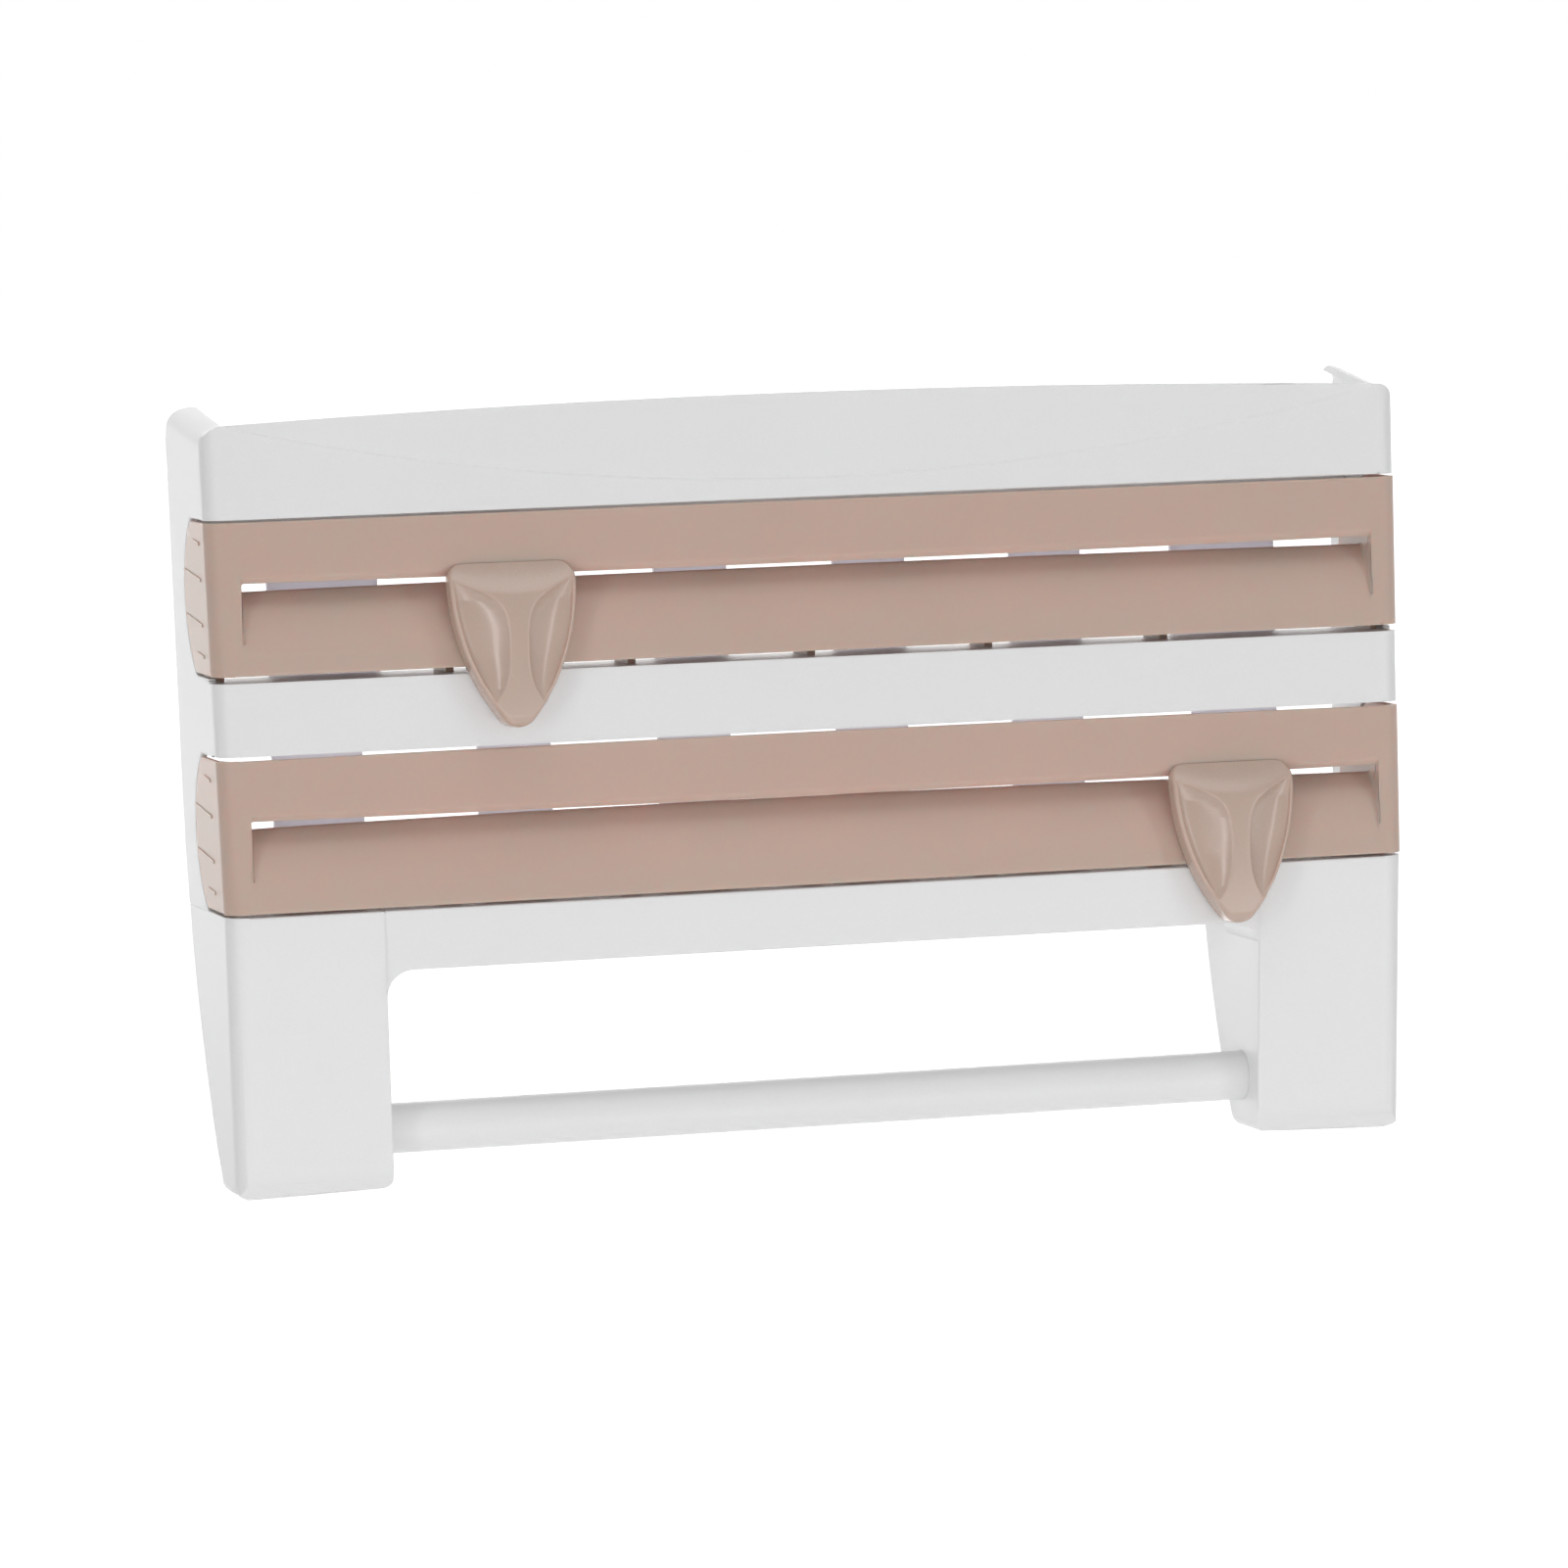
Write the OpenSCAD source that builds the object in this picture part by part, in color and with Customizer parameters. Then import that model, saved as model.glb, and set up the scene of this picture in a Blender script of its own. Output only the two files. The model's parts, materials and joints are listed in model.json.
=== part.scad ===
// Wall rack for two rolls of kitchen wrap and one roll of paper towel.
// White frame with a shelf on top, two pull-out trays with slot covers,
// a sliding cutter in each slot, and a turning rod between the legs.
// Millimetres. +X right, +Y to the wall, +Z up. The wall is the plane Y = 0.

/* [Frame] */
// Outside width of the frame at the shelf line
body_w = 390; // [350:1:430]
// Depth of the frame front at the lower edge of the fascia
front_d = 56; // [54:0.5:64]
// Wall thickness of the white frame
wall_t = 2.4; // [1.8:0.1:3]
// Plan radius of the front corners
corner_r = 6.5; // [5:0.5:9]
// Inward lean of each side wall, degrees
side_draft = 0.9; // [0.4:0.1:1.4]
// Forward lean of the upper front, degrees
front_lean = 2.2; // [1:0.1:3]
// Backward lean of the leg fronts, degrees
leg_lean = 2.3; // [1:0.1:3.5]

/* [Heights] */
// Height of the opening between the legs
opening_h = 69.4; // [60:0.2:80]
// Height of the lower bar
lower_bar_h = 18.9; // [15:0.1:24]
// Height of each slot cover
cover_h = 47.3; // [45:0.1:52]
// Height of the middle bar
mid_bar_h = 22.6; // [18:0.1:28]
// Height of the fascia at its ends
fascia_h = 29.5; // [25:0.5:36]
// Rise of the arched fascia top
arch_rise = 3.4; // [1:0.1:6]
// Gap below the lower cover
gap_low = 0.9; // [0.6:0.1:1.6]
// Gap above the lower cover
gap_mid = 1.2; // [0.6:0.1:2]
// Gap below the upper cover
gap_up = 2.1; // [1:0.1:2.6]
// Gap above the upper cover
gap_top = 0.8; // [0.6:0.1:1.6]

/* [Ears] */
// Fall of an ear's top line towards the front, degrees
ear_slope = 8; // [5:0.5:10]
// Radius of an ear's rear corner
ear_r = 14; // [10:0.5:16]
// Radius of the rolled rim, also of the fascia's top corners
rim_r = 7; // [5:0.5:8]
// Width of the rolled rim
rim_w = 7.4; // [7:0.1:10]

/* [Trays] */
// Wall thickness of the covers and troughs
cover_t = 2.2; // [1.8:0.1:2.6]
// Amount the covers stand out of the frame front
cover_proud = 0.6; // [0.2:0.1:1.5]
// Radius of the rounded rear end of a grip
grip_r = 29; // [27:0.5:32]
// Distance from the wall to the rear end of a grip
grip_rear = 19.2; // [17:0.2:24]
// Clearance around a grip in the side wall
grip_clear = 0.6; // [0.4:0.1:1]
// Distance from a side of the frame to the end of a slot
slot_end = 10.6; // [9:0.1:40]
// Distance from a cover's top edge to its slot
lip_drop = 17.2; // [15:0.1:18]
// Height of a slot from its upper front edge to the ramp
slot_h = 4.2; // [4:0.1:5]
// Size of the bevel on the slot's upper edge
lip_bevel = 1.6; // [0.8:0.1:1.8]
// Depth of a ramp at its top
ramp_d = 8.8; // [7:0.1:10]
// Height of a ramp
ramp_h = 18.6; // [15:0.1:20]
// Lean of a ramp at its foot, degrees
ramp_toe = 4; // [2:0.5:12]
// Outside radius of a trough
trough_r = 21.6; // [19:0.1:22]
// Width of a foot under a trough
foot_w = 2.6; // [2:0.1:4]

/* [Cutters] */
// Distance of the upper cutter from the left side of the frame
cutter_up_in = 95; // [32:0.5:190]
// Distance of the lower cutter from the right side of the frame
cutter_lo_in = 61.7; // [32:0.1:190]
// Width of a cutter handle
cutter_w = 38.8; // [36:0.2:46]
// Height of a cutter handle
cutter_h = 50.6; // [46:0.1:56]
// Thickness of a cutter handle
cutter_d = 11; // [8:0.5:13]
// Radius of a handle's curved sides
cutter_side_r = 56; // [48:1:70]
// Radius of a handle's tip
cutter_tip_r = 5.6; // [4:0.1:7]
// Clearance between a handle and its cover
cutter_clear = 0.5; // [0.3:0.1:1]
// Height of the neck that runs in a slot
neck_h = 2.4; // [2:0.1:2.8]
// Width of the carriage behind a slot
carriage_w = 26; // [20:1:32]

/* [Rod] */
// Radius of the paper rod
rod_r = 7.9; // [6:0.1:9]
// Height of the rod's axis above the feet
rod_z = 18.2; // [16:0.1:24]
// Distance of the rod's axis from the wall
rod_y = 41.5; // [38:0.5:44]
// Radial clearance of the rod in its sockets
rod_fit = 0.08; // [0.02:0.01:0.1]
// Length of rod inside each socket
rod_in = 8; // [5:0.5:10]
// Plan position of the inner leg faces at the shelf line
leg_x = 145.7; // [135:0.5:155]
// Rise of a leg's bottom towards the inside, degrees
foot_rise = 1.4; // [0:0.1:3]

/* [Wall fixing] */
// Radius of a wall screw hole
screw_r = 2.25; // [2:0.05:3]
// Distance between the two wall screw holes
screw_span = 296; // [280:1:310]
// Height of the screw holes above the shelf floor
screw_up = 6.7; // [6:0.1:12]
// Distance from the wall to the front of the back panel
panel_d = 14.4; // [12:0.2:16]

/* [Hidden] */
$fn = 96;
z_lb = opening_h + lower_bar_h;
z_cl = z_lb + gap_low;
z_mb = z_cl + cover_h + gap_mid;
z_cu = z_mb + mid_bar_h + gap_up;
z_f = z_cu + cover_h + gap_top;
z_top = z_f + fascia_h;
z_end = z_top - 0.4;
shelf_t = 2;
z_screw = z_f + shelf_t + screw_up;
y_lb = front_d + (z_f - z_lb) * tan(front_lean);
// Half width of the frame at a height
function hw(z) = body_w / 2 - (z_top - z) * tan(side_draft);
// Depth of the upper front at a height
function yf(z) = front_d + (z_f - z) * tan(front_lean);
pipe_y = grip_rear + trough_r - 1.6;
// Distance from the front to the seam between a front corner and a side wall
seam_d = corner_r + 1;
slot_half = body_w / 2 - slot_end;
cutter_up_x = body_w / 2 - cutter_up_in;
cutter_lo_x = body_w / 2 - cutter_lo_in;
flange_d = 30;
groove_w = 1.6;
side_gap = 0.3;
ramp_t = 1.6;
foot_pitch = 58.6;
cutter_up = 1.7;
neck_w = 16;
neck_in = cover_t + 1;
neck_z = -lip_bevel - 0.4 - neck_h;
carriage_y = cover_t + 0.4;
carriage_d = 3.6;
carriage_h = 10;
blade_w = 10;
blade_h = 5.6;
blade_t = 0.8;
blade_in = 1.4;
curve_r = 240;
curve_z = 125;
opening_r = 8.5;
foot_r = 9;
foot_low = 0.7;
eps = 0.01;

// Colours of the materials
white = [0.93, 0.93, 0.94];
pink = [0.76, 0.66, 0.61];
beige = [0.78, 0.68, 0.62];
steel = [0.72, 0.73, 0.75];

// Placing helpers

// Turns a piece about the front line at the fascia's lower edge
module lean_up() {
  translate([0, -front_d, z_f]) rotate([-front_lean, 0, 0]) translate([0, front_d, -z_f]) children();
}

// Turns a piece about the front line at the top of the legs
module lean_leg() {
  translate([0, -y_lb, z_lb]) rotate([leg_lean, 0, 0]) translate([0, y_lb, -z_lb]) children();
}

// Leans a right-hand piece inward with the side wall
module drafted() {
  translate([body_w / 2, 0, z_top]) rotate([0, side_draft, 0]) translate([-body_w / 2, 0, -z_top]) children();
}

// Draws a piece and its mirror image
module both_sides() {
  children();
  mirror([1, 0, 0]) children();
}

// Draws the right half of a piece and its mirror image, which meet on the middle plane
module halves() {
  both_sides() intersection() {
    children();
    translate([0, -2 * body_w, -2 * body_w]) cube(4 * body_w);
  }
}

// Side view (depth to the wall, height) drawn out along X from x0 to x1
module along_x(x0, x1) {
  translate([x0, 0, 0]) rotate([90, 0, 90]) linear_extrude(x1 - x0) children();
}

// Plan of the right half with a rounded front corner, front at depth d
module plan_half(x0, w, d, r, back) {
  translate([x0, -d]) square([w - r - x0, d + back]);
  translate([w - r - eps, r - d]) square([r + eps, d + back - r]);
  intersection() {
    translate([w - r, r - d]) circle(r);
    translate([w - r - eps, -d - 1]) square([r + 1, r + 1 + eps]);
  }
}

// Plan ring of the right half: front wall, corner and side wall to the given rear line
module ring_half(x0, w, d, r, t, back) {
  difference() {
    plan_half(x0, w, d, r, back);
    plan_half(x0 - 1, w - t, d - t, r - t, back + 1);
  }
}

// Tall ring of the upper front, both halves
module upper_ring(d, grow, t, back) {
  lean_up() halves() drafted() translate([0, 0, z_lb - 40]) linear_extrude(z_top - z_lb + 80)
    ring_half(-8, body_w / 2 + grow, d, corner_r + grow, t, back);
}

// Block that fills the space inside the side walls, clear of each by a gap
module inner_block(d, gap = 0) {
  lean_up() halves() drafted() translate([0, 0, z_lb - 40]) linear_extrude(z_top - z_lb + 80)
    plan_half(-8, body_w / 2 - wall_t - gap, d, corner_r - wall_t, 20);
}

// Side view of a grip: round at the rear, straight to the front
module grip_view(z0, h, extra, ends) {
  intersection() {
    translate([-100, z0 - ends]) square([100, h + 2 * ends]);
    union() {
      translate([-grip_rear - grip_r, z0 + h / 2]) circle(grip_r + extra);
      translate([-100, z0 - ends]) square([100 - grip_rear - grip_r, h + 2 * ends]);
    }
  }
}

// Side view of the frame up to its rear line, or past it by grow.
// The line is straight on the wall and curves forward below.
module rear_view(z0, z1, grow = 0) {
  reach = 2 * front_d;
  translate([-reach, max(z0, curve_z)]) square([reach + grow, z1 - max(z0, curve_z)]);
  intersection() {
    translate([-curve_r, curve_z]) circle(curve_r + grow, $fn = 240);
    translate([-reach, z0]) square([reach + grow, curve_z - z0 + 0.5]);
  }
}

// Block that fills the space between the legs
module between_legs() {
  lean_leg() halves() drafted() translate([-8, -120, -20]) cube([leg_x + 8, 200, z_lb + 60]);
}

// White frame

// Height of an ear's top line at a distance from the wall
function ear_z(y) = z_end + (front_d - seam_d - y) * tan(ear_slope);

// Side view of an ear: rounded at the rear, falling to the fascia
module ear_view() {
  zc = ear_z(ear_r) - ear_r / cos(ear_slope);
  run = ear_r * (1 + sin(ear_slope));
  difference() {
    polygon([[0, z_f], [0, ear_z(0)], [-2 * front_d, ear_z(2 * front_d)], [-2 * front_d, z_f]]);
    difference() {
      translate([-run, zc]) square([run + 1, 2 * ear_r]);
      translate([-ear_r, zc]) circle(ear_r);
    }
  }
}

// Side view of a side wall
module side_view() {
  difference() {
    union() {
      rear_view(z_lb, z_f + 1);
      ear_view();
    }
    grip_view(z_cl, cover_h, grip_clear, gap_low);
    grip_view(z_cu, cover_h, grip_clear, gap_top);
    translate([-2 * front_d, z_lb]) square([2 * front_d - grip_rear - grip_r, z_mb - z_lb]);
    translate([-2 * front_d, z_cu - gap_up]) square([2 * front_d - grip_rear - grip_r, z_f - z_cu + gap_up]);
  }
}

// Front view of a side wall inset by t: upright, with a quarter round to the top at zero
module rolled_view(t) {
  half = body_w / 2;
  translate([half - 2 * rim_w, -z_top]) square([2 * rim_w - t, z_top - rim_r]);
  translate([half - 2 * rim_w, -z_top]) square([2 * rim_w - rim_r, z_top - t]);
  translate([half - rim_r, -rim_r]) circle(rim_r - t);
}

// Right side wall, rolled inward along the top of its ear
module side_wall() {
  y_seam = seam_d - front_d;
  intersection() {
    lean_up() drafted() translate([0, y_seam, z_end]) rotate([ear_slope + front_lean, 0, 0])
      translate([0, 2 * front_d, 0]) rotate([90, 0, 0]) linear_extrude(4 * front_d) difference() {
        rolled_view(0);
        rolled_view(wall_t);
        translate([0, -2 * z_top]) square([body_w / 2 - rim_w, 4 * z_top]);
      }
    along_x(0, body_w) side_view();
    union() {
      inner_block(front_d - wall_t, side_gap);
      lean_up() translate([0, y_seam, -z_top]) cube([body_w, 2 * front_d, 3 * z_top]);
    }
  }
}

module side_right() {
  color(white) side_wall();
}

module side_left() {
  color(white) mirror([1, 0, 0]) side_wall();
}

// Front view of the arched fascia with rounded top corners
module fascia_view() {
  arch_half = body_w / 2 - 20;
  arch_r = (arch_half * arch_half + arch_rise * arch_rise) / (2 * arch_rise);
  intersection() {
    translate([0, z_top + arch_rise - arch_r]) circle(arch_r, $fn = 360);
    union() {
      translate([-body_w, z_f]) square([2 * body_w, z_end - rim_r - z_f + eps]);
      translate([rim_r - body_w / 2, z_f]) square([body_w - 2 * rim_r, fascia_h + 2 * arch_rise]);
      both_views() translate([body_w / 2 - rim_r, z_end - rim_r]) circle(rim_r);
    }
  }
}

// Draws a view and its mirror image
module both_views() {
  children();
  mirror([1, 0]) children();
}

// Arched front of the shelf with a stepped panel above a smile-shaped line
module fascia() {
  smile_r = 802;
  smile_up = 6.4;
  smile_step = 0.5;
  smile_end = 8;
  color(white) difference() {
    intersection() {
      upper_ring(front_d, 0, wall_t, seam_d - front_d);
      translate([0, front_d, 0]) rotate([90, 0, 0]) linear_extrude(3 * front_d) fascia_view();
    }
    lean_up() intersection() {
      translate([0, smile_step - front_d, z_f + smile_up + smile_r]) rotate([90, 0, 0])
        cylinder(r1 = smile_r, r2 = smile_r + smile_step + 1, h = smile_step + 1, $fn = 480);
      translate([smile_end - body_w / 2, -3 * front_d, z_f])
        cube([body_w - 2 * smile_end, 6 * front_d, 4 * fascia_h]);
    }
  }
}

// Floor of the shelf with a drain groove at the front and a low rear edge
module shelf_floor() {
  rear_t = 2;
  rear_h = 6;
  color(white) union() {
    intersection() {
      inner_block(front_d - wall_t);
      translate([-body_w, -2 * front_d, z_f]) cube([2 * body_w, 2 * front_d - panel_d, shelf_t / 2]);
    }
    intersection() {
      inner_block(front_d - wall_t - groove_w);
      union() {
        translate([-body_w, -2 * front_d, z_f]) cube([2 * body_w, 2 * front_d - panel_d, shelf_t]);
        translate([-body_w, -panel_d - rear_t, z_f]) cube([2 * body_w, rear_t, rear_h]);
      }
    }
  }
}

// Middle bar: front with corners and two flanges behind it
module mid_bar() {
  color(white) {
    intersection() {
      upper_ring(front_d, 0, wall_t, seam_d - front_d);
      translate([-body_w, -120, z_mb]) cube([2 * body_w, 140, mid_bar_h]);
    }
    intersection() {
      inner_block(front_d - wall_t + 0.5, side_gap);
      union() {
        translate([-body_w, -120, z_mb + mid_bar_h - 2]) cube([2 * body_w, 120 - flange_d, 2]);
        translate([-body_w, -120, z_mb]) cube([2 * body_w, 120 - flange_d, 2]);
      }
    }
  }
}

// Lower bar between the legs with rounded corners to the opening
module lower_bar() {
  x_leg = leg_x - (z_top - z_lb + lower_bar_h / 2) * tan(side_draft);
  color(white) intersection() {
    between_legs();
    union() {
      intersection() {
        lean_leg() translate([-body_w, -y_lb, opening_h - 20]) cube([2 * body_w, wall_t, lower_bar_h + 20]);
        translate([-body_w, -120, opening_h]) cube([2 * body_w, 140, lower_bar_h]);
      }
      intersection() {
        lean_leg() translate([-body_w, -y_lb + wall_t - 0.5, -20]) cube([2 * body_w, 120, z_lb + 60]);
        union() {
          translate([-body_w, -120, z_lb - 2]) cube([2 * body_w, 120 - flange_d, 2]);
          translate([-body_w, -120, opening_h]) cube([2 * body_w, 120 - flange_d, 2]);
        }
      }
      intersection() {
        lean_leg() translate([-body_w, -y_lb, -20]) cube([2 * body_w, y_lb - flange_d, z_lb + 60]);
        both_sides() translate([0, 10, 0]) rotate([90, 0, 0]) linear_extrude(120) difference() {
          translate([x_leg - opening_r - 2, opening_h - opening_r - 2]) square(opening_r + 5);
          translate([x_leg - opening_r, opening_h - opening_r]) circle(opening_r);
          translate([x_leg - opening_r - 10, opening_h - opening_r - 12]) square([opening_r + 10, 12]);
          translate([x_leg - opening_r - 12, opening_h - opening_r - 12]) square([12, opening_r + 12]);
          translate([x_leg - opening_r - 10, opening_h + 1]) square([opening_r + 40, 20]);
        }
      }
    }
  }
}

// Side view of a leg, inset by t and past the rear line by grow
module leg_view(t, grow = 0) {
  y0 = y_lb - z_lb * tan(leg_lean);
  z0 = t - foot_low;
  heel_r = 8;
  heel_z = heel_r - foot_low;
  fil_y = curve_r - sqrt(pow(curve_r - heel_r, 2) - pow(curve_z - heel_z, 2));
  fil_z = curve_z - (curve_z - heel_z) * curve_r / (curve_r - heel_r);
  difference() {
    intersection() {
      rear_view(z0, z_lb - t, grow);
      translate([-2 * front_d, z0]) square([4 * front_d, z_lb - t - z0]);
    }
    difference() {
      translate([-y0 - 10 + t, z0 - 1]) square([foot_r + 10, foot_r + 1]);
      translate([-y0 + foot_r + t, foot_r + z0]) circle(foot_r);
      translate([-y0 + foot_r + t, z0 - 2]) square([20, 40]);
    }
    difference() {
      translate([-fil_y, z0 - 1]) square([fil_y, fil_z + foot_low + 1]);
      translate([-fil_y, heel_r + z0]) circle(heel_r);
    }
  }
}

// Plan of a leg with a rounded outer front corner, inset by t
module leg_plan(t) {
  plan_half(leg_x + t, body_w / 2 - t, y_lb - t, corner_r - t, 20);
}

// Front view of a leg: bottom rising to the inside, with rounded lower corners
module leg_front() {
  outer_r = 5.5;
  inner_r = 3;
  half = body_w / 2;
  translate([half, -foot_low]) rotate(-foot_rise) translate([-half, 0]) difference() {
    square([body_w, z_top]);
    difference() {
      translate([half - outer_r, -1]) square([half, outer_r + 1]);
      translate([half - outer_r, outer_r]) circle(outer_r);
    }
    difference() {
      translate([0, -1]) square([leg_x + inner_r, inner_r + 1]);
      translate([leg_x + inner_r, inner_r]) circle(inner_r);
    }
  }
}

// Right leg: hollow shell with a rod socket in its inner face
module leg() {
  socket_r = rod_r + rod_fit;
  x_in = leg_x - (z_top - rod_z) * tan(side_draft);
  difference() {
    union() {
      difference() {
        intersection() {
          lean_leg() drafted() translate([0, 0, -30]) linear_extrude(z_lb + 60) leg_plan(0);
          along_x(0, body_w) leg_view(0);
          drafted() translate([0, front_d, 0]) rotate([90, 0, 0]) linear_extrude(3 * front_d) leg_front();
        }
        intersection() {
          lean_leg() drafted() translate([0, 0, -30]) linear_extrude(z_lb + 60) leg_plan(wall_t);
          along_x(0, body_w) union() {
            leg_view(wall_t, 1);
            translate([-30, 20]) square([60, z_lb - 20 - wall_t]);
          }
        }
      }
      translate([x_in + wall_t - 1, -rod_y, rod_z]) rotate([0, 90, 0])
        cylinder(r = socket_r + 3, h = rod_in + 1.6);
    }
    translate([x_in - 5, -rod_y, rod_z]) rotate([0, 90, 0]) cylinder(r = socket_r, h = rod_in + 5.5);
  }
}

module leg_right() {
  color(white) leg();
}

module leg_left() {
  color(white) mirror([1, 0, 0]) leg();
}

// Back panel: upright webs between three rails, with two screw bosses
module back_panel() {
  web_pitch = 59.2;
  web_w = 24;
  last_up = 131.5;
  last_low = 138;
  end_gap = 28;
  boss_t = 3.5;
  cut_t = wall_t + 2;
  rows = [[z_mb + mid_bar_h - 8, z_f - 6, last_up], [z_lb + 2, z_cl + cover_h, last_low]];
  color(white) difference() {
    union() {
      difference() {
        union() {
          intersection() {
            inner_block(front_d);
            translate([-body_w, -panel_d, z_lb]) cube([2 * body_w, wall_t, z_f + 22 - z_lb]);
          }
          intersection() {
            between_legs();
            translate([-body_w, -panel_d, opening_h]) cube([2 * body_w, wall_t, lower_bar_h + 1]);
          }
        }
        for (row = rows) {
          for (i = [-1:1]) {
            translate([i * web_pitch - (web_pitch - web_w) / 2, -panel_d - 1, row[0]])
              cube([web_pitch - web_w, cut_t, row[1] - row[0]]);
          }
          both_sides() translate([1.5 * web_pitch + web_w / 2, -panel_d - 1, row[0]])
            cube([row[2] - 1.5 * web_pitch - web_w / 2, cut_t, row[1] - row[0]]);
          both_sides() translate([body_w / 2 - end_gap, -panel_d - 1, row[0]])
            cube([end_gap, cut_t, row[1] - row[0]]);
        }
      }
      both_sides() translate([screw_span / 2, -panel_d + 1, z_screw]) rotate([-90, 0, 0])
        cylinder(r = screw_r + boss_t, h = panel_d - 1);
    }
    both_sides() translate([screw_span / 2, -panel_d - 1, z_screw]) rotate([-90, 0, 0])
      cylinder(r = screw_r, h = panel_d + 2);
  }
}

// Pull-out trays

// Ribs on a grip: two long and two short lines
module grip_ribs(zc) {
  for (r = [[17.5, 9], [7, 23], [-7, 23], [-17.5, 9]]) {
    drafted() translate([body_w / 2 + 0.2 - 0.5, -44.5 + r[1] / 2, zc + r[0]]) rotate([6, 0, 0])
      translate([0, -r[1] / 2, -0.45]) cube([0.85, r[1], 0.9]);
  }
}

// Side view of a slot cover's ramp, inset by t: an arc that leaves the front at z_low
module ramp_view(d, z_low, t) {
  arc_r = norm([ramp_d, ramp_h]) / (2 * sin(atan2(ramp_d, ramp_h) - ramp_toe));
  translate([arc_r * cos(ramp_toe) - d, z_low - arc_r * sin(ramp_toe)]) circle(arc_r - t, $fn = 180);
}

// Slot cover standing at height z0
module cover(z0) {
  z_lip = z0 + cover_h - lip_drop;
  z_high = z_lip - slot_h;
  z_low = z_high - ramp_h;
  d = front_d + cover_proud;
  cut_d = cover_t + 1;
  root = 0.4;
  end_t = 1.5;
  intersection() {
    along_x(-body_w, body_w) grip_view(z0, cover_h, 0, 0);
    union() {
      difference() {
        upper_ring(d, 0.2, cover_t, 0);
        lean_up() along_x(-slot_half, slot_half) difference() {
          polygon([[-d - 1, z_lip], [-d, z_lip], [lip_bevel - d, z_lip - lip_bevel],
            [cut_d - d, z_lip - lip_bevel], [cut_d - d, z_low], [-d - 1, z_low]]);
          ramp_view(d, z_low, 0);
        }
      }
      lean_up() along_x(-slot_half - end_t, slot_half + end_t) intersection() {
        difference() {
          ramp_view(d, z_low, 0);
          ramp_view(d, z_low, ramp_t);
        }
        union() {
          translate([-d - 1, z_low]) square([ramp_d + 2 * ramp_t + 1, ramp_h]);
          translate([root - d, z_low - cover_t]) square([ramp_d, cover_t + 1]);
        }
      }
      lean_up() both_sides() along_x(slot_half, slot_half + end_t) polygon([[1 - d, z_lip + 3],
        [ramp_d + ramp_t - d, z_high], [ramp_d + ramp_t - d, z_high - 2], [1 - d, z_low]]);
    }
  }
  both_sides() grip_ribs(z0 + cover_h / 2);
}

module cover_upper() {
  color(pink) cover(z_cu);
}

module cover_lower() {
  color(pink) cover(z_cl);
}

// Side view of a trough: open pipe that cradles a roll
module trough_view(z0) {
  zc = z0 + trough_r + 1.7;
  difference() {
    translate([-pipe_y, zc]) circle(trough_r);
    translate([-pipe_y, zc]) circle(trough_r - cover_t + 0.4);
    translate([-pipe_y, z0 + 15]) square([40, 60]);
    translate([-pipe_y - 60, z0 + 6.5]) square([60 + eps, 60]);
  }
}

// Trough behind a cover at height z0, on feet that reach down by drop
module trough(z0, drop) {
  zc = z0 + trough_r + 1.7;
  half = hw(z0) - cover_t - 1.4;
  intersection() {
    lean_up() translate([-body_w, -front_d - cover_proud + cover_t, z_lb - 40])
      cube([2 * body_w, 120, z_top + 40]);
    union() {
      along_x(-half, half) trough_view(z0);
      both_sides() along_x(half - 2, half) difference() {
        union() {
          translate([-pipe_y, zc]) circle(trough_r);
          translate([-pipe_y, zc]) square([trough_r, 12]);
          translate([-pipe_y - 6, z0 - drop]) square([20, trough_r]);
        }
        translate([-pipe_y - 60, z0 + 6.5]) square([54, 60]);
        translate([-pipe_y - 60, zc + 12]) square([120, 60]);
      }
      for (i = [-2:2]) {
        translate([i * foot_pitch - foot_w / 2, 0, 0]) along_x(0, foot_w) difference() {
          translate([-pipe_y - 8, z0 - drop]) square([16, 6 + drop]);
          translate([-pipe_y, zc]) circle(trough_r - 1);
        }
      }
    }
  }
}

module trough_upper() {
  color(pink) trough(z_cu, gap_up);
}

module trough_lower() {
  color(pink) trough(z_cl, gap_low);
}

// Cutters

// Front view of a handle's upper part with rounded corners
module handle_top() {
  corner = 6;
  half = cutter_w / 2;
  translate([corner - half, -cutter_h]) square([cutter_w - 2 * corner, cutter_h]);
  translate([-half, -cutter_h]) square([cutter_w, cutter_h - corner]);
  both_views() translate([half - corner, -corner]) circle(corner);
}

// Round core of a handle that tapers to the front
module handle_cone(x, z, r) {
  taper = 1.4;
  translate([x, 0, z]) rotate([90, 0, 0]) cylinder(r1 = r, r2 = r - taper, h = cutter_d + 2, $fn = 180);
}

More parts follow.
